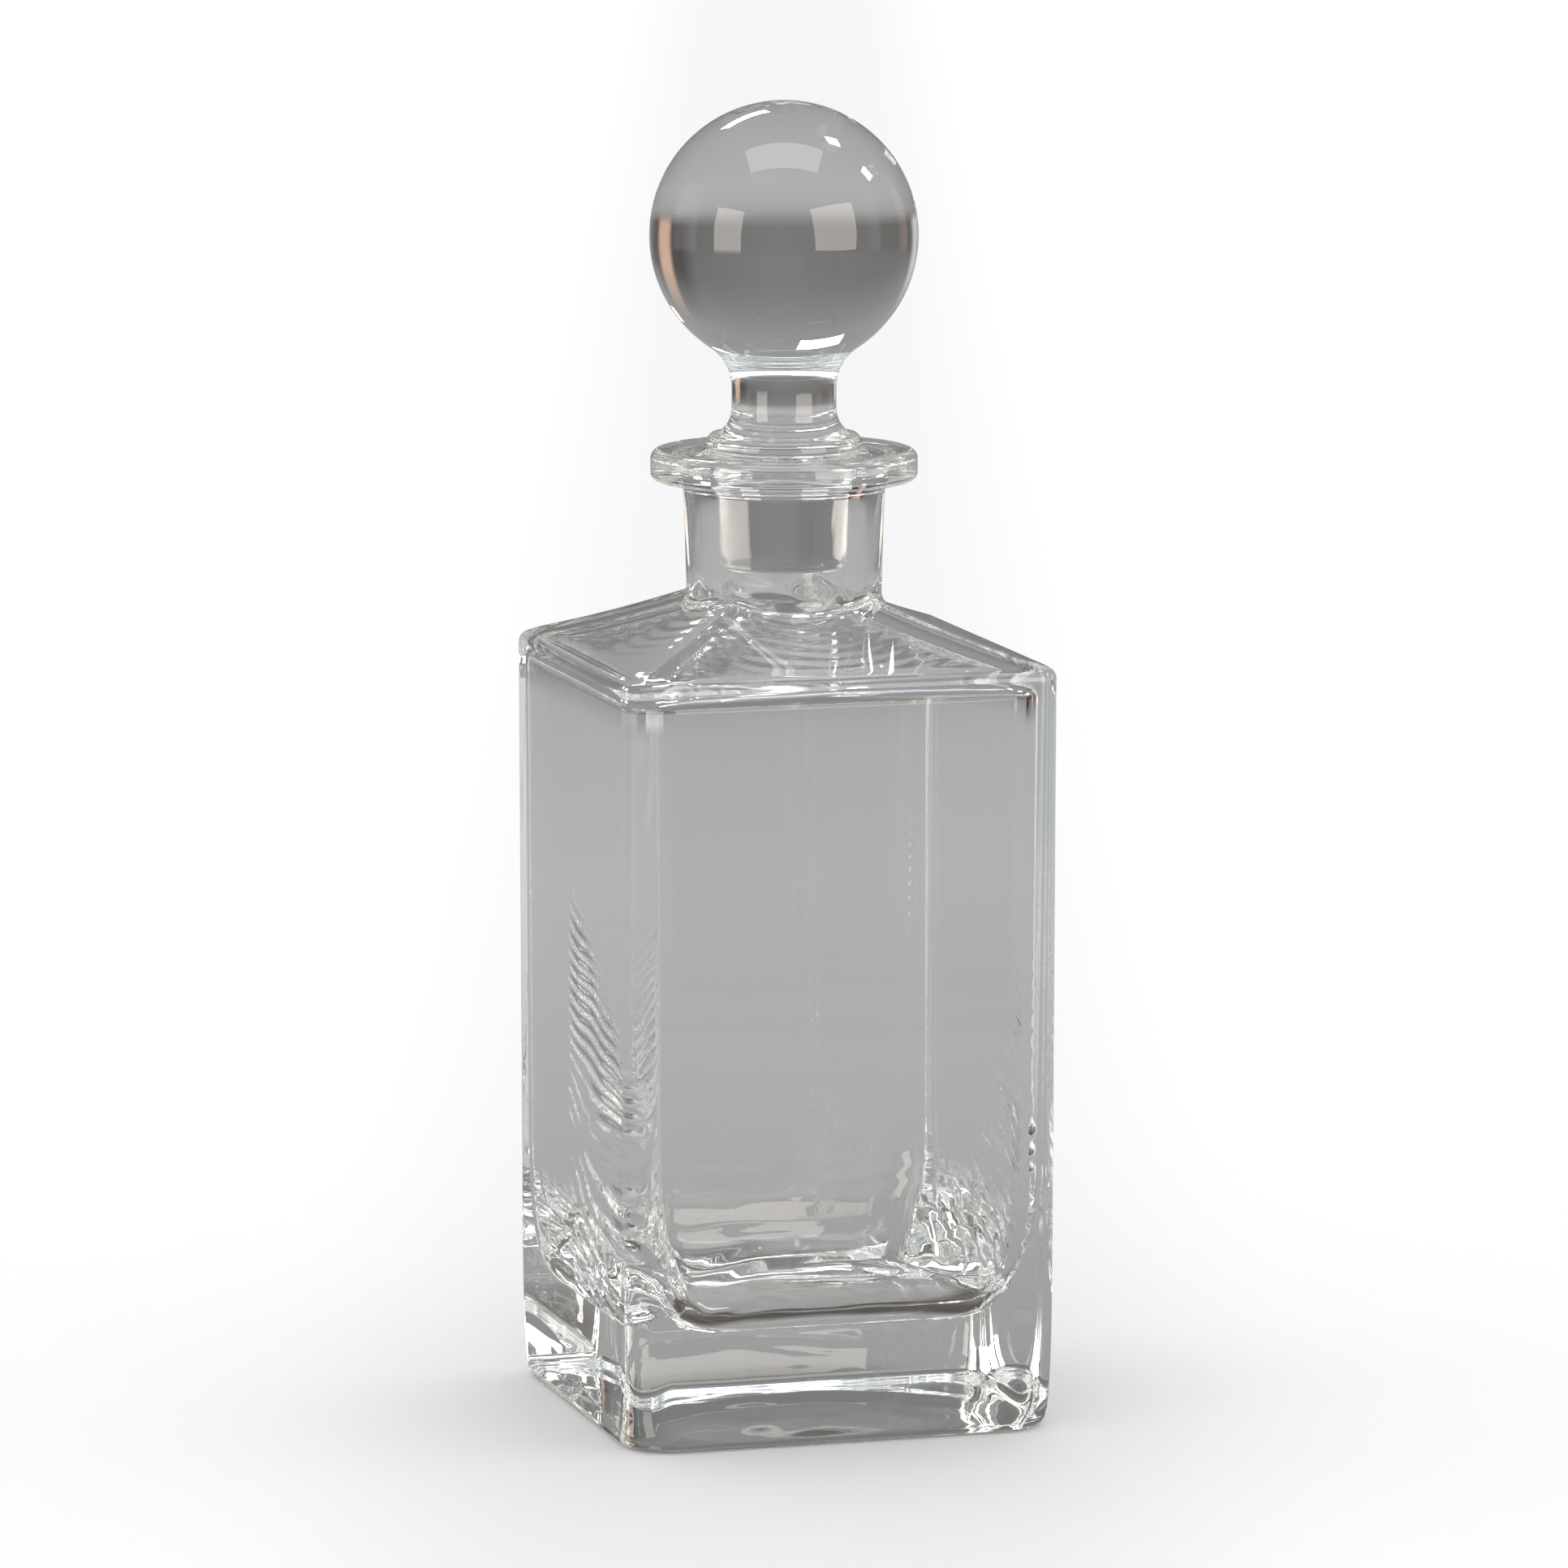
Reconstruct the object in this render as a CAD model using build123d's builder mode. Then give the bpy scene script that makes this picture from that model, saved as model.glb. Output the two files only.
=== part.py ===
from build123d import *
import os
from math import radians, sqrt, tan

# A square spirit decanter in clear crystal glass, with a solid ball stopper.
# The bottle is one piece of glass: upright walls, a four-sided sloping shoulder, a round neck
# and a flat collar lip, over a heavy base. The stopper is one solid piece: a ball, a waist, a
# flared foot that sits on the lip, and a tapered plug that hangs in the neck.
# Sizes are in millimetres. +Z is up, the origin is the middle of the base on the table, and
# the four walls face -Y (front), +X, +Y and -X.

os.makedirs("parts", exist_ok=True)

# Bottle, outside
body_width = 84.0
high_corner_radius = 4.6
low_corner_radius = 6.3
heel_corner_radius = 10.5
heel_height = 30.0
heel_steps = 4
heel_radius = 2.2
wall_top_z = 145.0
shoulder_edge_radius = 2.4
shoulder_slope_low = 18.0
shoulder_slope_high = 23.5
shoulder_bend_half = 26.0
shoulder_peak_half = 13.0
shoulder_ridge_radius = 3.0
neck_foot_radius = 18.5
neck_head_radius = 19.1
neck_foot_fillet = 2.0
lip_radius = 25.3
lip_top_z = 183.6
lip_thickness = 5.8
lip_top_edge_radius = 1.8
lip_lower_edge_radius = 1.4
lip_underside_fillet = 2.2

# Bottle, inside
floor_z = 21.0
wall_at_shoulder = 3.2
wall_at_bowl = 4.2
shoulder_thickness = 3.4
side_bowl_height = 36.0
front_bowl_height = 15.0
bowl_inset = 13.0
bowl_steps = 8
cavity_corner_radius = 11.0
roof_edge_radius = 5.0
roof_peak_inset = 0.5
roof_peak_corner_radius = 8.0
mouth_edge_radius = 1.2

# The taper that the plug and the neck share, 1 in 10 on the diameter
taper_half_angle = 2.86
mouth_radius = 13.0
plug_clearance = 0.09
seat_clearance = 0.05

# Stopper
ball_radius = 25.4
overall_height = 249.5
ball_flare_radius = 9.0
waist_radius = 9.9
waist_foot_z = 191.0
foot_top_radius = 13.7
foot_top_z = 186.2
foot_radius = 14.8
foot_edge_height = 0.5
plug_foot_z = 161.2
plug_edge_radius = 2.0

# How far from its level an edge may lie and still be taken for that level's edge
level_tolerance = 0.1

half_width = body_width / 2
slope_low = tan(radians(shoulder_slope_low))
slope_high = tan(radians(shoulder_slope_high))
shoulder_bend_z = wall_top_z + (half_width - shoulder_bend_half) * slope_low
shoulder_peak_z = shoulder_bend_z + (shoulder_bend_half - shoulder_peak_half) * slope_high
lip_foot_z = lip_top_z - lip_thickness
ball_z = overall_height - ball_radius


def bore_radius(z):
    """Radius of the neck's tapered bore at height z."""
    return mouth_radius - (lip_top_z - z) * tan(radians(taper_half_angle))


def bowl_half_width(z, height):
    """Half the cavity's width in the bowl: a quarter of an ellipse of that height, then the wall."""
    depth = max(0, (floor_z + height - z) / height)
    return half_width - wall_at_bowl - bowl_inset * (1 - sqrt(1 - depth**2))


def corner_radius(z):
    """Radius of the outer corners: nearly even up the walls, opening out in the heel."""
    even = high_corner_radius + (low_corner_radius - high_corner_radius) * (1 - z / wall_top_z)
    swell = max(0, 1 - z / heel_height)
    return even + (heel_corner_radius - low_corner_radius) * swell**3


def rounded_square(z, half, radius, half_depth=None):
    """A rounded square about the Z axis at height z, or an oblong if its depth is given."""
    with BuildSketch(Plane.XY.offset(z)) as outline:
        RectangleRounded(2 * half, 2 * (half_depth or half), radius)
    return outline.sketch


def edges_at(edges, z):
    """The edges whose middle lies at height z."""
    return edges.filter_by(lambda edge: abs(edge.center().Z - z) < level_tolerance)


# Bottle: the walls, with corners that open out towards the heel, and the sloping shoulder
with BuildPart() as decanter_body:
    wall_heights = [heel_height * step / heel_steps for step in range(heel_steps + 1)] + [wall_top_z]
    loft([rounded_square(z, half_width, corner_radius(z)) for z in wall_heights], ruled=True)
    loft(
        [
            rounded_square(wall_top_z, half_width, high_corner_radius),
            rounded_square(shoulder_bend_z, shoulder_bend_half, shoulder_ridge_radius),
            rounded_square(shoulder_peak_z, shoulder_peak_half, shoulder_ridge_radius),
        ],
    )
    fillet(edges_at(decanter_body.edges(), wall_top_z), shoulder_edge_radius)
    fillet(decanter_body.edges().group_by(Axis.Z)[0], heel_radius)

    # Neck and lip, turned about the axis on a core that starts inside the shoulder
    with BuildSketch(Plane.XZ):
        with BuildLine():
            Polyline(
                (0, wall_top_z),
                (neck_foot_radius, wall_top_z),
                (neck_head_radius, lip_foot_z),
                (lip_radius, lip_foot_z),
                (lip_radius, lip_top_z),
                (0, lip_top_z),
                close=True,
            )
        make_face()
    revolve(axis=Axis.Z)
    neck_wall = decanter_body.faces().filter_by(GeomType.CONE).sort_by(SortBy.AREA)[-1]
    neck_foot = neck_wall.edges().filter_by(lambda edge: edge.center().Z < lip_foot_z - level_tolerance)
    fillet(neck_foot, neck_foot_fillet)
    fillet(edges_at(decanter_body.edges().filter_by(GeomType.CIRCLE), lip_top_z), lip_top_edge_radius)
    lip_foot = edges_at(decanter_body.edges().filter_by(GeomType.CIRCLE), lip_foot_z)
    fillet(lip_foot.sort_by(SortBy.RADIUS)[-1], lip_lower_edge_radius)
    fillet(lip_foot.sort_by(SortBy.RADIUS)[0], lip_underside_fillet)

    # Cavity: a bowl that the side walls start higher up than the front and back ones, straight
    # walls, and a roof under the shoulder
    cavity_sections = []
    for step in range(bowl_steps + 1):
        z = floor_z + side_bowl_height * (step / bowl_steps) ** 2
        side_half = bowl_half_width(z, side_bowl_height)
        front_half = bowl_half_width(z, front_bowl_height)
        cavity_sections.append(rounded_square(z, side_half, cavity_corner_radius, front_half))
    roof_half = half_width - wall_at_shoulder
    roof_foot_z = wall_top_z - shoulder_thickness
    roof_peak_z = shoulder_peak_z - shoulder_thickness
    roof_peak_half = bore_radius(roof_peak_z) - roof_peak_inset
    cavity_sections.append(rounded_square(roof_foot_z, roof_half, cavity_corner_radius))
    cavity_sections.append(rounded_square(roof_peak_z, roof_peak_half, roof_peak_corner_radius))
    loft(cavity_sections, ruled=True, mode=Mode.SUBTRACT)
    fillet(edges_at(decanter_body.edges(), roof_foot_z), roof_edge_radius)

    # Bore: the taper that the plug shares, from the roof up through the lip
    with BuildSketch(Plane.XZ):
        with BuildLine():
            Polyline(
                (0, roof_foot_z),
                (bore_radius(roof_foot_z), roof_foot_z),
                (mouth_radius, lip_top_z),
                (0, lip_top_z),
                close=True,
            )
        make_face()
    revolve(axis=Axis.Z, mode=Mode.SUBTRACT)
    mouth = edges_at(decanter_body.edges().filter_by(GeomType.CIRCLE), lip_top_z)
    fillet(mouth.sort_by(SortBy.RADIUS)[0], mouth_edge_radius)

decanter_body.part.label = "decanter_body"
export_step(decanter_body.part, "parts/decanter_body.step")

# Stopper: one profile turned about the axis
foot_z = lip_top_z + seat_clearance
plug_top_radius = bore_radius(foot_z) - plug_clearance
plug_foot_radius = bore_radius(plug_foot_z) - plug_clearance
flare_axis_radius = waist_radius + ball_flare_radius
ball_neck_z = ball_z - sqrt((ball_radius + ball_flare_radius) ** 2 - flare_axis_radius**2)
with BuildPart() as stopper:
    with BuildSketch(Plane.XZ):
        with BuildLine():
            share = ball_radius / (ball_radius + ball_flare_radius)
            ball_meets_flare = (flare_axis_radius * share, ball_z + (ball_neck_z - ball_z) * share)
            waist_head = (waist_radius, ball_neck_z)
            waist_foot = (waist_radius, waist_foot_z)
            ThreePointArc((0, overall_height), (ball_radius, ball_z), ball_meets_flare)
            TangentArc(waist_head, ball_meets_flare, tangent=(0, 1))
            Line(waist_head, waist_foot)
            TangentArc(waist_foot, (foot_top_radius, foot_top_z), tangent=(0, -1))
            Polyline(
                (foot_top_radius, foot_top_z),
                (foot_radius, foot_top_z - foot_edge_height),
                (foot_radius, foot_z),
                (plug_top_radius, foot_z),
                (plug_foot_radius, plug_foot_z),
                (0, plug_foot_z),
                (0, overall_height),
            )
        make_face()
    revolve(axis=Axis.Z)
    plug_foot = stopper.edges().filter_by(GeomType.CIRCLE).sort_by(Axis.Z)[0]
    fillet(plug_foot, plug_edge_radius)

stopper.part.label = "stopper"
export_step(stopper.part, "parts/stopper.step")
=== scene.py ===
import bmesh
import bpy
from math import atan2, cos, pi, radians, sin, sqrt, tan
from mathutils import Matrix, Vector, noise


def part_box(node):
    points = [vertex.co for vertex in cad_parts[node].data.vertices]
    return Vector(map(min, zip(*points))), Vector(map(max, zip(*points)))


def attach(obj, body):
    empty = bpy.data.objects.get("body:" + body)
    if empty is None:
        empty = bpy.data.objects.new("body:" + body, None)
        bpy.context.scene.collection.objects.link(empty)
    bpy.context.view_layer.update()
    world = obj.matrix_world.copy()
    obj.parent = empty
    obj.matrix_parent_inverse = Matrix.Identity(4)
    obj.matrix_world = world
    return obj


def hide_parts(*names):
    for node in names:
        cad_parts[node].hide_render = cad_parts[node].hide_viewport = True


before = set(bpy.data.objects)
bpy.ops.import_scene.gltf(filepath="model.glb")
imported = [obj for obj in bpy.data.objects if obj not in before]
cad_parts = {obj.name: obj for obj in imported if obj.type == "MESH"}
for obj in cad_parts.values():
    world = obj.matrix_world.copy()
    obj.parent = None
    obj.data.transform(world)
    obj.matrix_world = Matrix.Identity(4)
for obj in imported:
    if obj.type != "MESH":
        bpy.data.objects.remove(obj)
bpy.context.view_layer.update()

bpy.ops.object.select_all(action="DESELECT")

# ---------------------------------------------------------------------------------------------
# Camera: a long lens that stands a little above the ball and to the left of the front wall, so
# that the left wall shows at a narrow angle.
# ---------------------------------------------------------------------------------------------
camera_turn = 0.2866
camera_distance = 1.8257
camera_height = 0.4003
camera_pitch = 0.1527
focal_length = 222.93
bpy.ops.object.camera_add(
    location=(-sin(camera_turn) * camera_distance, -cos(camera_turn) * camera_distance, camera_height),
    rotation=(pi / 2 - camera_pitch, 0, -camera_turn),
)
camera = bpy.context.object
camera.name = "camera"
camera.data.sensor_width = 36.0
camera.data.lens = focal_length
camera.data.clip_end = 40
bpy.context.scene.camera = camera

# ---------------------------------------------------------------------------------------------
# Bottle: clear lead-free crystal, blown in a square mould over a heavy base. Its walls are flat
# outside and a little wavy inside, where the glass chilled unevenly. It is one closed skin: up
# the outside, over the lip, down the bore and the cavity, and across the floor.
# ---------------------------------------------------------------------------------------------
MM = 0.001
body_lo, body_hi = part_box("decanter_body")
half_width = (body_hi.x - body_lo.x) / 2 / MM
lip_top = body_hi.z / MM
lip_radius = 25.3
lip_thickness = 5.8
wall_top = 145.0
neck_radius = 18.5
mouth_radius = 13.0
bore_taper = 0.05
floor_level = 21.0
cavity_half = 38.8

side_steps = 32
corner_steps = 28
quarter_steps = side_steps + corner_steps
ring_steps = 4 * quarter_steps
corner_start = radians(36.0)
corner_span = pi / 2 - 2 * corner_start


def square_angle(turn):
    """The angle of a ring's vertex on a square ring: close together round the corners."""
    quarter, step = divmod(round(turn * ring_steps), quarter_steps)
    half_side = side_steps / 2
    if step < half_side:
        angle = corner_start * step / half_side
    elif step <= half_side + corner_steps:
        angle = corner_start + corner_span * (step - half_side) / corner_steps
    else:
        angle = pi / 2 - corner_start * (quarter_steps - step) / half_side
    return quarter * pi / 2 + angle


def on_square(turn, half, radius):
    """A point of a square with rounded corners, as x and y from its middle."""
    angle = square_angle(turn)
    x, y = abs(cos(angle)), abs(sin(angle))
    reach = half / max(x, y)
    core = half - radius
    if min(x, y) * reach > core:
        along = (x + y) * core
        reach = along + sqrt(along**2 - 2 * core**2 + radius**2)
    return reach * cos(angle), reach * sin(angle)


def on_circle(turn, radius):
    """A point of a circle, as x and y from its middle."""
    angle = turn * 2 * pi
    return radius * cos(angle), radius * sin(angle)


def start_ring(name, place):
    """A ring of bare vertices and edges in edit mode, each vertex marked with its turn."""
    bpy.ops.mesh.primitive_circle_add(vertices=ring_steps, radius=half_width * MM)
    ring = bpy.context.object
    ring.name = name
    ring.data.name = name
    turns = ring.data.attributes.new("turn", "FLOAT", "POINT")
    for vertex in ring.data.vertices:
        angle = atan2(vertex.co.y, vertex.co.x) % (2 * pi)
        turns.data[vertex.index].value = round(angle / (2 * pi) * ring_steps) % ring_steps / ring_steps
    bpy.ops.object.mode_set(mode="EDIT")
    bpy.ops.mesh.select_all(action="SELECT")
    set_rings([place])
    return ring


def set_rings(places):
    """Moves the last rings made to where each place(turn) says, in millimetres."""
    data = bpy.context.object.data
    mesh = bmesh.from_edit_mesh(data)
    layer = mesh.verts.layers.float["turn"]
    mesh.verts.ensure_lookup_table()
    first = len(mesh.verts) - ring_steps * len(places)
    for index, place in enumerate(places):
        start = first + ring_steps * index
        for vertex in mesh.verts[start : start + ring_steps]:
            vertex.co = Vector(place(vertex[layer])) * MM
    bmesh.update_edit_mesh(data, loop_triangles=False, destructive=False)


def add_rings(places):
    """Extrudes the selected ring into bands of faces, one that ends at each place."""
    bpy.ops.mesh.extrude_repeat(steps=len(places), offset=(0, 0, MM))
    set_rings(places)


def square_ring(z, half, radius):
    return lambda turn: (*on_square(turn, half, radius), z)


def round_ring(z, radius):
    return lambda turn: (*on_circle(turn, radius), z)


def outer_corner(z):
    """Radius of the outside corners at height z, opening out in the heel."""
    return 4.6 + 1.7 * (1 - z / wall_top) + 4.2 * max(0, 1 - z / 30) ** 3


def shoulder_height(x, y, ridge=1.1):
    """Height of the shoulder over a point: four facets that steepen towards the neck, with a
    soft ridge where two of them meet."""
    x, y = abs(x), abs(y)
    reach = (x + y + sqrt((x - y) ** 2 + ridge**2)) / 2
    inward = half_width - reach
    return wall_top + 0.3153 * inward + 0.0032 * inward**2


# Base: a shallow hollow ground underneath, inside a flat rim with a rounded heel
heel_radius = 2.2
hollow_depth = 2.2
hollow_radius = 36.0
grinding_wave = 0.25
rim_half = 39.0


def base_ring(half):
    """A ring of the underside: flat at the rim, with a round hollow ground into its middle."""

    def place(turn):
        x, y = on_square(turn, half, half * 0.24)
        out = min(1, sqrt(x * x + y * y) / hollow_radius)
        wave = grinding_wave * max(0, 0.5 + noise.noise(Vector((x, y, 40)) * 0.11))
        return x, y, hollow_depth * (1 - out * out) + wave * min(1, (rim_half - half) / 8)

    return place


bottle = start_ring("bottle_glass", base_ring(3))
add_rings([base_ring(half) for half in range(5, int(rim_half) + 1, 2)])
swings = [step / 10 * pi / 2 for step in range(11)]
insets = [heel_radius * (1 - sin(swing)) for swing in swings]
levels = [heel_radius * (1 - cos(swing)) for swing in swings]
heel_corner = outer_corner(0)
add_rings([square_ring(z, half_width - inset, heel_corner - inset) for z, inset in zip(levels, insets)])
# Walls
wall_levels = (3.5, 6, 9, 13, 18, 24, 30, 45, 70, 95, 120, 135, 140, 142)
add_rings([square_ring(z, half_width, outer_corner(z)) for z in wall_levels])
# Brow, where the walls turn into the shoulder
brow_radius = 2.4
shoulder_slope = radians(17.5)
brow_turn = pi / 2 - shoulder_slope
brow_foot = wall_top - brow_radius * tan(brow_turn / 2)
brow_corner = outer_corner(wall_top)
swings = [step / 12 * brow_turn for step in range(13)]
insets = [brow_radius * (1 - cos(swing)) for swing in swings]
levels = [brow_foot + brow_radius * sin(swing) for swing in swings]
add_rings(
    [square_ring(z, half_width - inset, brow_corner - 0.4 * inset) for z, inset in zip(levels, insets)]
)


# Shoulder: from a square at the brow to the circle at the neck's foot
shoulder_half = 39.4
shoulder_corner = 4.4
neck_fillet = 2.0


def shoulder_ring(share):
    """A ring of the shoulder, from the brow at share 0 to the neck's foot at share 1."""

    def place(turn):
        square = on_square(turn, shoulder_half, shoulder_corner)
        circle = on_circle(turn, neck_radius + neck_fillet)
        x, y = [s + (c - s) * share for s, c in zip(square, circle)]
        return x, y, shoulder_height(x, y)

    return place


add_rings([shoulder_ring(share) for share in (0.02, 0.07, 0.13)])
add_rings([shoulder_ring(0.2 + 0.08 * step) for step in range(11)])


# Neck foot: a round that leads from the sloping shoulder up into the neck
def neck_foot(swing):
    reach = neck_fillet * (1 - sin(swing))
    rise = 0.2 * (neck_fillet - reach) + 2.2 * (1 - cos(swing))

    def place(turn):
        foot = shoulder_height(*on_circle(turn, neck_radius + neck_fillet))
        return *on_circle(turn, neck_radius + reach), foot + rise

    return place


add_rings([neck_foot(step / 9 * pi / 2) for step in range(1, 10)])
# Neck, a little wider at the lip than at its foot
neck_top_radius = 19.1
neck_spread = 0.6
neck_height = 21.0
add_rings(
    [round_ring(z, neck_radius + neck_spread * (z - 157) / neck_height) for z in (160, 164, 169, 173)]
)
# Lip: a round under it, a smaller round at its lower edge than at its upper one, and the mouth
lip_foot = lip_top - lip_thickness
under_lip = 2.2
lower_edge = 1.4
upper_edge = 1.8
mouth_edge = 1.2
swings = [step / 9 * pi / 2 for step in range(10)]
levels = [lip_foot - under_lip + under_lip * sin(swing) for swing in swings]
radii = [neck_top_radius + under_lip * (1 - cos(swing)) for swing in swings]
add_rings([round_ring(z, radius) for z, radius in zip(levels, radii)])
add_rings([round_ring(lip_foot, 22.6)])
levels = [lip_foot + lower_edge * (1 - cos(swing)) for swing in swings]
radii = [lip_radius - lower_edge + lower_edge * sin(swing) for swing in swings]
add_rings([round_ring(z, radius) for z, radius in zip(levels, radii)])
levels = [lip_top - upper_edge + upper_edge * sin(swing) for swing in swings]
radii = [lip_radius - upper_edge + upper_edge * cos(swing) for swing in swings]
add_rings([round_ring(z, radius) for z, radius in zip(levels, radii)])
add_rings([round_ring(lip_top, radius) for radius in (21, 18, 15.5)])
levels = [lip_top - mouth_edge + mouth_edge * cos(swing) for swing in swings]
radii = [mouth_radius + mouth_edge - mouth_edge * sin(swing) for swing in swings]
add_rings([round_ring(z, radius) for z, radius in zip(levels, radii)])


# Bore: a plain taper, with a few hundredths of a millimetre of unevenness
skin_wave = 0.03


def bore_radius(z):
    return mouth_radius - (lip_top - z) * bore_taper


def bore_ring(z):
    def place(turn):
        x, y = on_circle(turn, 1)
        radius = bore_radius(z) + skin_wave * noise.noise(Vector((7 * x, 7 * y, z * 0.14)))
        return x * radius, y * radius, z

    return place


bore_foot = 156.0
add_rings([bore_ring(bore_foot + 1.25 * step) for step in range(20, -1, -1)])
# Roof of the cavity: a flare below the bore, then the shoulder again, a wall's thickness lower
flare_radius = 4.0
flare_turn = radians(62)
flare_reach = bore_radius(bore_foot) + flare_radius * (1 - cos(flare_turn))
swings = [step / 9 * flare_turn for step in range(1, 10)]
levels = [bore_foot - flare_radius * sin(swing) for swing in swings]
radii = [bore_radius(bore_foot) + flare_radius * (1 - cos(swing)) for swing in swings]
add_rings([round_ring(z, radius) for z, radius in zip(levels, radii)])


shoulder_thickness = 3.2
ring_spacing = 3.4
ring_rise = 0.06


def roof_height(x, y):
    """Height of the cavity's roof over a point, with faint rings round the neck."""
    out = sqrt(x * x + y * y)
    sway = noise.noise(Vector((x, y, 7)) * 0.08)
    rings = ring_rise * sin(out * 2 * pi / ring_spacing + 3 * sway)
    rings *= 0.7 + noise.noise(Vector((x, y, 3)) * 0.07)
    return shoulder_height(x, y, ridge=9) - shoulder_thickness + rings


roof_inset = 3.6
roof_half = cavity_half - roof_inset
roof_corner = 6.0


def roof_ring(share):
    """A ring of the roof, from the flare at share 0 to the roof's edge at share 1."""

    def place(turn):
        circle = on_circle(turn, flare_reach + 0.8)
        square = on_square(turn, roof_half, roof_corner)
        x, y = [c + (s - c) * share for s, c in zip(square, circle)]
        return x, y, roof_height(x, y)

    return place


add_rings([roof_ring(step / 26) for step in range(27)])
wall_foot = 139.6
wall_corner = 6.0


def roof_edge(share):
    """A ring of the long round that leads from the roof down into the walls."""
    rest = 1 - share
    inset = roof_inset * rest**3 + 3 * (roof_inset - 2.0) * rest**2 * share

    def place(turn):
        top = roof_height(*on_square(turn, roof_half, roof_corner))
        level = top * rest**3 + 3 * (top - 0.7) * rest**2 * share
        level += 3 * (wall_foot + 2.2) * rest * share**2 + wall_foot * share**3
        corner = roof_corner + (wall_corner - roof_corner) * share
        return *on_square(turn, cavity_half - inset, corner), level

    return place


add_rings([roof_edge(step / 12) for step in range(1, 13)])

# Cavity walls and bowl
side_bowl = 22.0
side_inset = 12.0
front_bowl = 12.0
front_inset = 9.0
wall_taper = 0.9


def bowl(z, height, inset):
    """How far the wall has come in at height z, along a quarter of an ellipse of that height."""
    depth = max(0, (floor_level + height - z) / height)
    return inset * (1 - sqrt(max(0, 1 - depth**2)))


def cavity_point(turn, z):
    """A point of the even cavity wall: its side walls close in higher up than front and back."""
    half = cavity_half - wall_taper * (1 - (z - floor_level) / (wall_top - floor_level))
    x, y = on_square(turn, half, wall_corner + 3 * max(0, (48 - z) / 27))
    x *= 1 - bowl(z, side_bowl, side_inset) / half
    y *= 1 - bowl(z, front_bowl, front_inset) / half
    return x, y


def fade(value, start, end):
    """An even step from 0 at start to 1 at end."""
    share = max(0, min(1, (value - start) / (end - start)))
    return share * share * (3 - 2 * share)


def chill(x, y, z):
    """How strong the chill wrinkles are: on the left wall from its middle forwards, on the right
    wall under a line that falls towards the back, and faint on the front and back walls."""
    if abs(x) < abs(y):
        return 0.10 * fade(z, 70, 40) * fade(abs(x), 34, 24)
    if x < 0:
        reach = 80 + 0.7 * (y + 33)
        return fade(z, reach, reach - 14) * fade(y, 6, 1) * fade(y, -36, -32)
    reach = 52 - 0.69 * y
    low = fade(z, reach, reach - 12) * fade(y, 30, 20)
    return max(low, 0.4 * fade(z, 96, 80) * fade(y, -8, -18)) * fade(y, -37, -33)


def ripple(x, y, z):
    """How far a chill wrinkle stands off the wall: long near-level folds that sink to the front,
    close together and shallow at the top, broader and deeper lower down."""
    sway = noise.noise(Vector((x, y, z)) * 0.025) + 0.35 * noise.noise(Vector((x, y, z)) * 0.07)
    patch = noise.noise(Vector((x, y * 0.7, z)) * 0.09)
    rise = z - 0.27 * y + 8 * sway
    folds = 0.17 * rise + 0.0007 * rise**2
    height = 0.34 - 0.0026 * max(0, z - 35)
    return chill(x, y, z) * height * sin(2 * pi * folds) * (0.8 + 1.6 * patch)


def cavity_ring(z):
    def place(turn):
        x, y = cavity_point(turn, z)
        out = 1 + ripple(x, y, z) / cavity_half
        return x * out, y * out, z

    return place


add_rings([cavity_ring(z) for z in (133, 125, 118, 111, 104)])
wrinkle_top = 99.0
ring_gap = 0.52
add_rings([cavity_ring(wrinkle_top - ring_gap * step) for step in range(99)])
bowl_head = 47.5
swings = [step / 34 * pi / 2 for step in range(1, 35)]
add_rings([cavity_ring(bowl_head - (bowl_head - floor_level) * sin(swing)) for swing in swings])


# Floor of the cavity: it swells a little in the middle
floor_swell = 0.9
floor_wave = 0.35


def floor_ring(share):
    """A ring of the floor, from its middle at share 0 to the foot of the walls at share 1."""

    def place(turn):
        side = cavity_half - wall_taper - side_inset
        x, y = on_square(turn, share * side, 12 * share)
        y *= (side + side_inset - front_inset) / side
        wave = floor_wave * noise.noise(Vector((x, y, 0)) * 0.07) * (1 - share**4)
        return x, y, floor_level - 0.05 + floor_swell * (1 - share**2) + wave

    return place


add_rings([floor_ring(1 - step / 12) for step in range(1, 12)])


def close_skin():
    """Closes the last ring made and the first one, and leaves a smooth skin in object mode."""
    bpy.ops.mesh.merge(type="CENTER")
    bpy.ops.mesh.select_all(action="DESELECT")
    bpy.ops.mesh.select_non_manifold()
    bpy.ops.mesh.merge(type="CENTER")
    bpy.ops.mesh.select_all(action="SELECT")
    bpy.ops.mesh.normals_make_consistent(inside=False)
    bpy.ops.object.mode_set(mode="OBJECT")
    bpy.ops.object.shade_smooth()


close_skin()


def to_linear(hex_colour):
    """An sRGB hex colour as linear red, green, blue and alpha."""
    channels = [int(hex_colour[i : i + 2], 16) / 255 for i in (1, 3, 5)]
    return [c / 12.92 if c <= 0.04045 else ((c + 0.055) / 1.055) ** 2.4 for c in channels] + [1]


def add_node(tree, kind, links=(), **settings):
    """Adds a node. Settings are its properties, or inputs by name; links are (input, socket)."""
    node = tree.nodes.new(kind)
    for name, value in settings.items():
        if hasattr(node, name):
            setattr(node, name, value)
        else:
            node.inputs[name.replace("_", " ")].default_value = value
    for name, socket in links:
        tree.links.new(socket, node.inputs[name])
    return node


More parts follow.
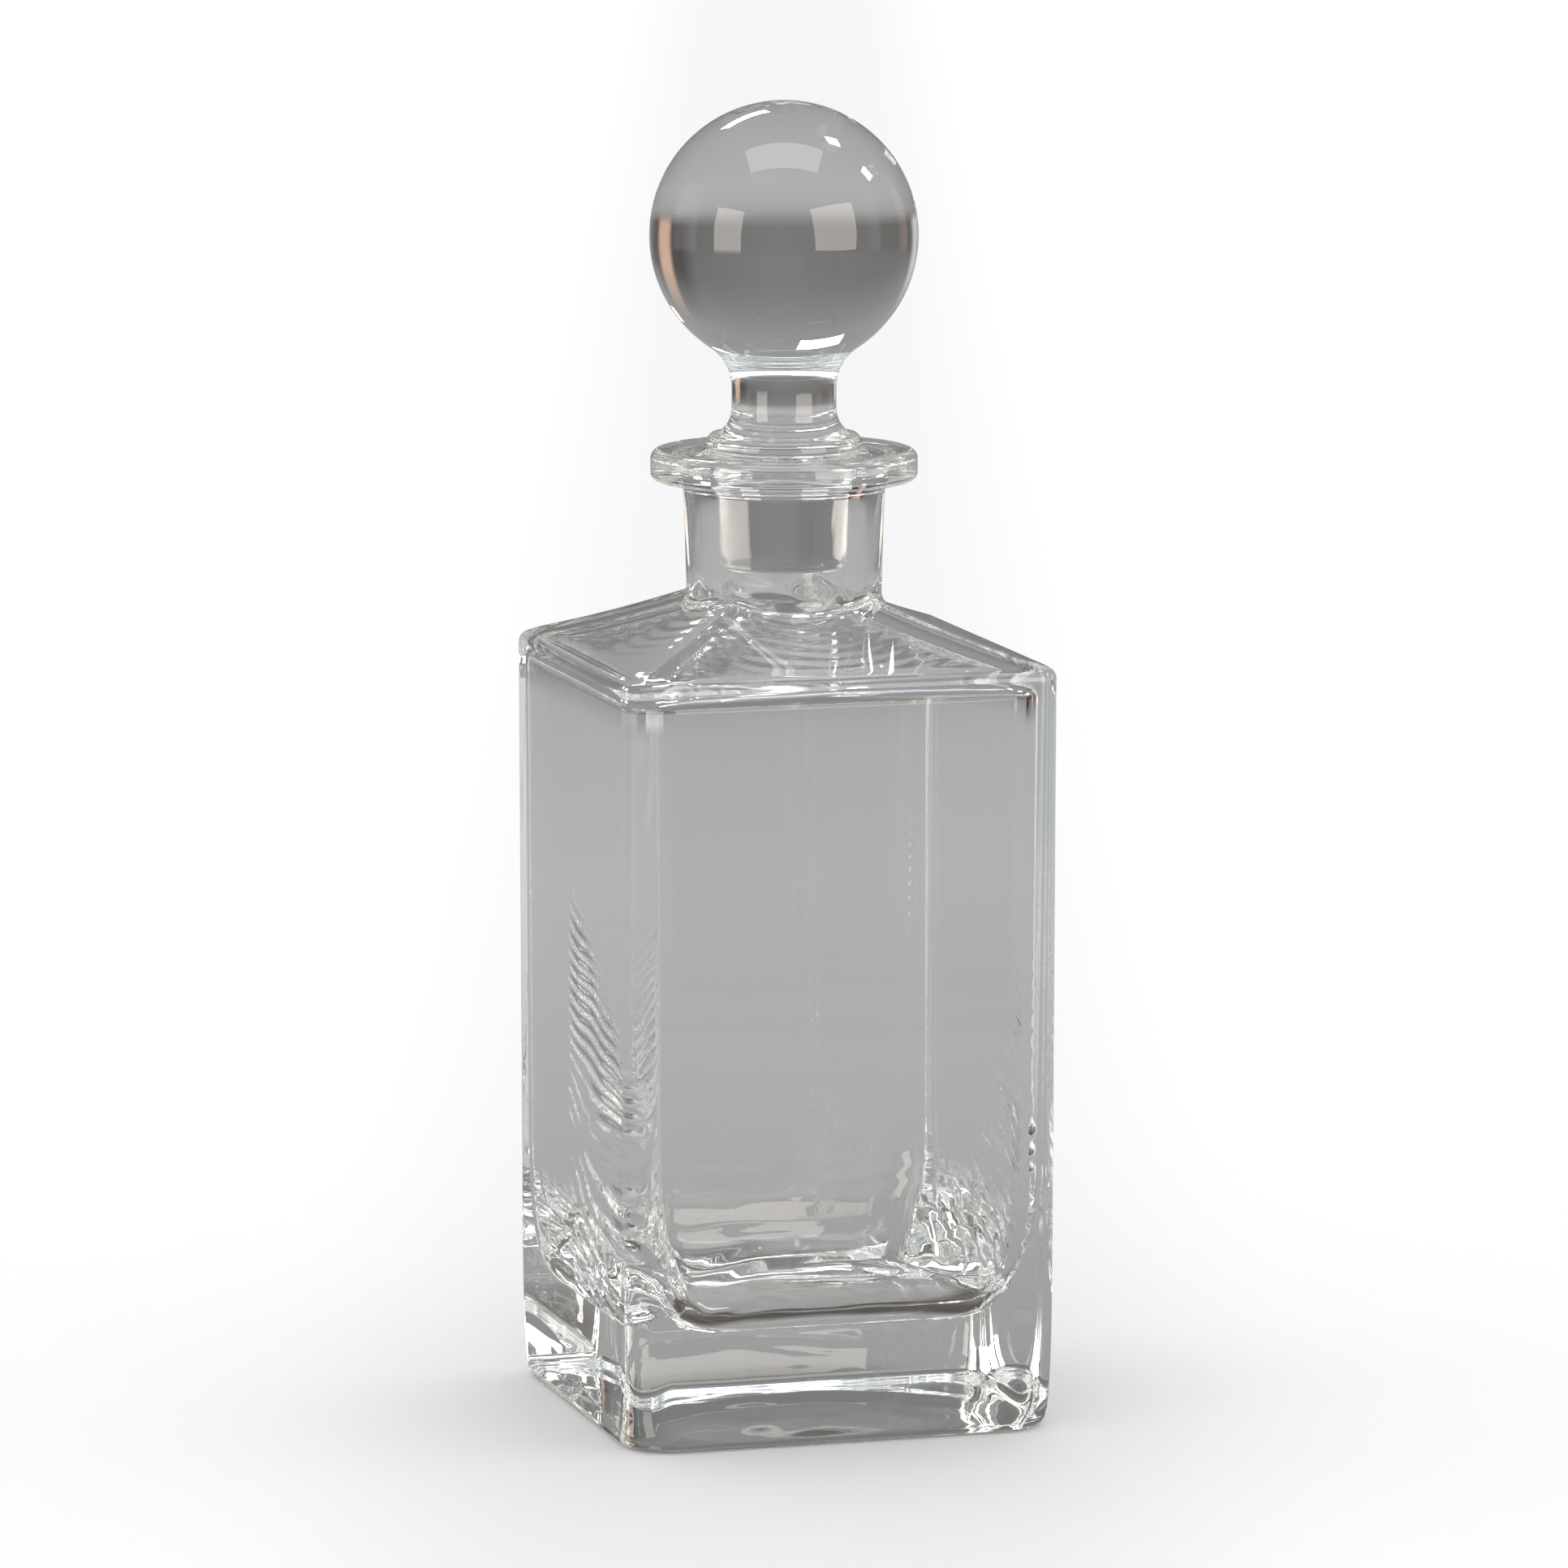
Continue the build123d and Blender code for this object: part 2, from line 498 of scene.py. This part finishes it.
# Clear crystal: no colour in a thin wall and a faint grey-green in the thick base. Its skin was
# melted smooth, so it is glossy all over, with slow waves that bend straight reflections a little.
crystal = bpy.data.materials.new("clear_crystal")
crystal.use_nodes = True
tree = crystal.node_tree
tree.nodes.clear()
wave_length = 16.0
place = add_node(tree, "ShaderNodeTexCoord")
waves = add_node(
    tree,
    "ShaderNodeTexNoise",
    [("Vector", place.outputs["Object"])],
    Scale=1 / (wave_length * MM),
    Detail=1.0,
)
skin = add_node(
    tree,
    "ShaderNodeBump",
    [("Height", waves.outputs[0])],
    Strength=1.0,
    Distance=skin_wave * MM,
)
shader = add_node(
    tree,
    "ShaderNodeBsdfPrincipled",
    [("Normal", skin.outputs[0])],
    Base_Color=(1, 1, 1, 1),
    Roughness=0.0,
    IOR=1.54,
    Transmission_Weight=1.0,
)
depth = add_node(tree, "ShaderNodeVolumeAbsorption", Color=(0.80, 0.87, 0.85, 1), Density=3.0)
add_node(
    tree,
    "ShaderNodeOutputMaterial",
    [("Surface", shader.outputs[0]), ("Volume", depth.outputs[0])],
)
bottle.data.materials.append(crystal)
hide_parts("decanter_body")
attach(bottle, "bottle")

# ---------------------------------------------------------------------------------------------
# Stopper: one solid piece of the same crystal, pressed and fire-polished: a ball, a waist, a
# flared foot that sits on the lip, and a tapered plug that hangs in the neck.
# ---------------------------------------------------------------------------------------------
stopper_lo, stopper_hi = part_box("stopper")
ball_radius = 25.4
ball_z = stopper_hi.z / MM - ball_radius
flare = 9.0
waist = 9.9
waist_foot = 191.5
plug_foot = stopper_lo.z / MM
foot_level = lip_top + 0.05
ball_neck = ball_z - sqrt((ball_radius + flare) ** 2 - (waist + flare) ** 2)
meeting = atan2(ball_z - ball_neck, waist + flare)

stopper = start_ring("stopper_glass", round_ring(stopper_hi.z / MM - 0.01, 0.8))
pole = radians(2)
swings = [pole + step / 72 * (pi / 2 + meeting - pole) for step in range(1, 73)]
add_rings([round_ring(ball_z + ball_radius * cos(swing), ball_radius * sin(swing)) for swing in swings])
# Waist, and the foot that flares out below it
swings = [meeting * (1 - step / 14) for step in range(1, 15)]
levels = [ball_neck + flare * sin(swing) for swing in swings]
radii = [waist + flare * (1 - cos(swing)) for swing in swings]
add_rings([round_ring(z, radius) for z, radius in zip(levels, radii)])
add_rings([round_ring(z, waist) for z in (194.5, 193, waist_foot)])
foot_drop = 5.0
foot_spread = 3.9
swings = [step / 10 * pi / 2 for step in range(1, 11)]
levels = [waist_foot - foot_drop * sin(swing) for swing in swings]
radii = [waist + foot_spread * (1 - cos(swing)) for swing in swings]
add_rings([round_ring(z, radius) for z, radius in zip(levels, radii)])
foot_rings = ((186.0, 14.3), (185.4, 14.7), (184.4, 14.8), (foot_level + 0.1, 14.75), (foot_level, 14.6))
add_rings([round_ring(z, radius) for z, radius in foot_rings])
# Plug: the bore's taper, a loose fit
clearance = 0.09
plug_edge = 2.0
add_rings([round_ring(foot_level, 13.6), round_ring(foot_level - 0.1, bore_radius(lip_top) - clearance)])


def plug_ring(z):
    def place(turn):
        x, y = on_circle(turn, 1)
        wave = skin_wave * noise.noise(Vector((6 * x, 6 * y, z * 0.12)))
        radius = bore_radius(z) - clearance - 0.02 + wave
        return x * radius, y * radius, z

    return place


add_rings([plug_ring(182.5 - 1.25 * step) for step in range(16)])
plug_radius = bore_radius(plug_foot) - clearance
levels = [plug_foot + plug_edge * (1 - sin(swing)) for swing in swings]
radii = [plug_radius - plug_edge * (1 - cos(swing)) for swing in swings]
add_rings([round_ring(z, radius) for z, radius in zip(levels, radii)])
add_rings([round_ring(plug_foot, radius) for radius in (8, 5, 2)])
close_skin()
stopper.data.materials.append(crystal)
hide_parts("stopper")
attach(stopper, "stopper")

# ---------------------------------------------------------------------------------------------
# Studio: a pale floor, a grey room that the glass shows, and soft panels of light. To the camera
# the floor and the room are white; what the glass bends or mirrors of them is grey.
# ---------------------------------------------------------------------------------------------
scene = bpy.context.scene
scene.view_settings.view_transform = "Standard"
scene.cycles.max_bounces = 96
scene.cycles.transmission_bounces = 96
scene.cycles.glossy_bounces = 96
bpy.ops.mesh.primitive_plane_add(size=30, location=(0, 0, -0.0002))
floor = bpy.context.object
floor.name = "floor"
paper_and_painted_glow = bpy.data.materials.new("white_paper_and_painted_glow")
paper_and_painted_glow.use_nodes = True
tree = paper_and_painted_glow.node_tree
tree.nodes.clear()


def fill_ramp(ramp, tones):
    """Gives a colour ramp its stops, as (position, sRGB hex) from first to last."""
    stops = ramp.color_ramp.elements
    for position, tone in tones[1:-1]:
        stops.new(position)
    for stop, (position, tone) in zip(stops, tones):
        stop.position = position
        stop.color = to_linear(tone)


path = add_node(tree, "ShaderNodeLightPath")
place = add_node(tree, "ShaderNodeTexCoord")
paper_reach = 2.0
distance = add_node(tree, "ShaderNodeVectorMath", [(0, place.outputs["Object"])], operation="LENGTH")
share = add_node(tree, "ShaderNodeMath", [(0, distance.outputs["Value"])], operation="DIVIDE")
share.inputs[1].default_value = paper_reach
# Painted light: what the glass sees of the floor is a grey glow that changes with distance from the
# decanter, with a painted shadow in a narrow dark ring under the rim of the base, where no light gets in
tones = add_node(tree, "ShaderNodeValToRGB", [(0, share.outputs[0])])
fill_ramp(
    tones,
    [
        (0.0, "#a0a09f"),
        (0.016, "#a0a09f"),
        (0.019, "#4a423c"),
        (0.024, "#544c45"),
        (0.032, "#a0a09f"),
        (0.13, "#acacac"),
        (0.30, "#b5b5b5"),
        (0.385, "#b1b1b1"),
        (0.46, "#acacac"),
        (0.53, "#a1a1a1"),
        (0.62, "#949494"),
        (0.77, "#8a8a8a"),
        (1, "#838383"),
    ],
)
# Painted light: the floor's glow is made up to 1.8 times brighter where the ray was turned back many times
# in the glass
brighter = {"From_Min": 11, "From_Max": 15, "To_Min": 1.0, "To_Max": 1.8}
glow = add_node(tree, "ShaderNodeMapRange", [("Value", path.outputs["Ray Depth"])], **brighter)
# The floor glows here: painted light that the glass shows in place of a lit floor
grey = add_node(
    tree,
    "ShaderNodeEmission",
    [("Color", tones.outputs[0]), ("Strength", glow.outputs[0])],
)
clear = add_node(tree, "ShaderNodeBsdfTransparent")
edge = add_node(
    tree,
    "ShaderNodeMapRange",
    [("Value", distance.outputs["Value"])],
    From_Min=1.1,
    From_Max=1.7,
)
room = add_node(
    tree,
    "ShaderNodeMixShader",
    [(0, edge.outputs[0]), (1, grey.outputs[0]), (2, clear.outputs[0])],
)
# A faint band of shade that runs straight back from the decanter
turned = add_node(
    tree,
    "ShaderNodeMapping",
    [("Vector", place.outputs["Object"])],
    Rotation=(0, 0, camera_turn),
)
split = add_node(tree, "ShaderNodeSeparateXYZ", [(0, turned.outputs[0])])
aside = add_node(tree, "ShaderNodeMath", [(0, split.outputs["X"])], operation="ABSOLUTE")
shade = add_node(
    tree,
    "ShaderNodeMapRange",
    [("Value", aside.outputs[0])],
    interpolation_type="SMOOTHERSTEP",
    From_Min=0.02,
    From_Max=0.12,
    To_Min=0.90,
    To_Max=1.0,
)
white = add_node(tree, "ShaderNodeBsdfDiffuse", [("Color", shade.outputs[0])])
mix = add_node(
    tree,
    "ShaderNodeMixShader",
    [(0, path.outputs["Is Camera Ray"]), (1, room.outputs[0]), (2, white.outputs[0])],
)
add_node(tree, "ShaderNodeOutputMaterial", [("Surface", mix.outputs[0])])
floor.data.materials.append(paper_and_painted_glow)

world = bpy.data.worlds.new("room")
bpy.context.scene.world = world
world.use_nodes = True
tree = world.node_tree
tree.nodes.clear()
path = add_node(tree, "ShaderNodeLightPath")
direction = add_node(tree, "ShaderNodeTexCoord")
split = add_node(tree, "ShaderNodeSeparateXYZ", [(0, direction.outputs["Generated"])])
height = add_node(tree, "ShaderNodeMapRange", [("Value", split.outputs["Z"])], From_Min=-1.0, From_Max=1.0)
tones = add_node(tree, "ShaderNodeValToRGB", [(0, height.outputs[0])])
fill_ramp(
    tones,
    [
        (0.0, "#8a8a8a"),
        (0.43, "#8a8a8a"),
        (0.46, "#888888"),
        (0.55, "#7f7e7d"),
        (0.65, "#8f8e8d"),
        (0.78, "#939393"),
        (1, "#9a9c9f"),
    ],
)
turn = add_node(
    tree, "ShaderNodeMath", [(0, split.outputs["Y"]), (1, split.outputs["X"])], operation="ARCTAN2"
)
round_room = add_node(tree, "ShaderNodeMapRange", [("Value", turn.outputs[0])], From_Min=-pi, From_Max=pi)
walls = add_node(tree, "ShaderNodeValToRGB", [(0, round_room.outputs[0])])
# Round the room: 0.25 is the front, 0.5 the right (+X), 0.75 the back, 0 and 1 the left
fill_ramp(
    walls,
    [
        (0.0, "#848484"),
        (0.41, "#7c7a78"),
        (0.43, "#d4d6dc"),
        (0.45, "#d4d6dc"),
        (0.465, "#3a302a"),
        (0.525, "#3a302a"),
        (0.54, "#dcb49a"),
        (0.565, "#dcb49a"),
        (0.575, "#3c3632"),
        (0.595, "#444040"),
        (0.615, "#6c6b6a"),
        (0.70, "#7a7a7a"),
        (0.80, "#706e6c"),
        (0.885, "#6c6865"),
        (0.91, "#ffffff"),
        (0.97, "#ffffff"),
        (0.985, "#848484"),
        (1, "#848484"),
    ],
)
low = add_node(tree, "ShaderNodeMapRange", [("Value", split.outputs["Z"])], From_Min=0.55, From_Max=0.15)
both = add_node(tree, "ShaderNodeMix", [("Factor", low.outputs[0])], data_type="RGBA")
tree.links.new(tones.outputs[0], both.inputs[6])
tree.links.new(walls.outputs[0], both.inputs[7])
glow = add_node(tree, "ShaderNodeMapRange", [("Value", path.outputs["Ray Depth"])], **brighter)
room = add_node(
    tree,
    "ShaderNodeBackground",
    [("Color", both.outputs[2]), ("Strength", glow.outputs[0])],
)
white = add_node(tree, "ShaderNodeBackground", Color=(1, 1, 1, 1), Strength=1.05)
seen = add_node(
    tree,
    "ShaderNodeMath",
    [(0, path.outputs["Is Camera Ray"]), (1, path.outputs["Is Diffuse Ray"])],
    operation="MAXIMUM",
)
mix = add_node(
    tree,
    "ShaderNodeMixShader",
    [(0, seen.outputs[0]), (1, room.outputs[0]), (2, white.outputs[0])],
)
add_node(tree, "ShaderNodeOutputWorld", [("Surface", mix.outputs[0])])


def panel(name, azimuth, elevation, distance, width, height, power, colour):
    """A soft rectangular light aimed at the decanter's middle. Azimuth 0 is at the front."""
    a, e = radians(azimuth), radians(elevation)
    aim = Vector((0, 0, 0.13))
    back = Vector((sin(a) * cos(e), -cos(a) * cos(e), sin(e)))
    bpy.ops.object.light_add(type="AREA", location=aim + back * distance)
    light = bpy.context.object
    light.name = name
    light.data.shape = "RECTANGLE"
    light.data.size = width
    light.data.size_y = height
    light.data.energy = power
    light.data.color = to_linear(colour)[:3]
    light.visible_diffuse = False
    light.rotation_mode = "QUATERNION"
    light.rotation_quaternion = back.to_track_quat("Z", "Y")


panel("window_left", -66, 8, 2.0, 0.9, 1.3, 17, "#fff4ea")
panel("window_right", 29, 12, 2.0, 1.4, 1.3, 24, "#fff4ea")
panel("overhead", -16, 78, 2.0, 1.8, 0.9, 14, "#f4f6ff")
panel("lamp_top", 106, 59, 2.0, 0.26, 0.26, 3.0, "#ffffff")
panel("lamp_right", 88, 37, 2.0, 0.26, 0.26, 3.0, "#ffffff")
panel("lamp_back", 182, 42, 2.0, 0.60, 0.24, 6.0, "#ffffff")

# A low grey card, out of the picture on the right, keeps the window off the underside of the base. It
# glows a flat painted grey, and only the glass sees it
card_turn = radians(16.4)
bpy.ops.mesh.primitive_plane_add(
    size=1,
    location=(sin(card_turn) * 0.45, -cos(card_turn) * 0.45, 0.062),
    rotation=(pi / 2, 0, card_turn),
)
card = bpy.context.object
card.name = "card"
card.scale = (0.24, 0.116, 1)
bpy.ops.object.transform_apply(location=True, rotation=True, scale=True)
card.visible_camera = False
card.visible_shadow = False
card.visible_diffuse = False
glowing_grey_card = bpy.data.materials.new("glowing_grey_card")
glowing_grey_card.use_nodes = True
tree = glowing_grey_card.node_tree
tree.nodes.clear()
# Painted light: the card glows a flat grey instead of being lit
card_painted_glow = add_node(tree, "ShaderNodeEmission", Color=to_linear("#8c8c8b"), Strength=1.0)
add_node(tree, "ShaderNodeOutputMaterial", [("Surface", card_painted_glow.outputs[0])])
card.data.materials.append(glowing_grey_card)
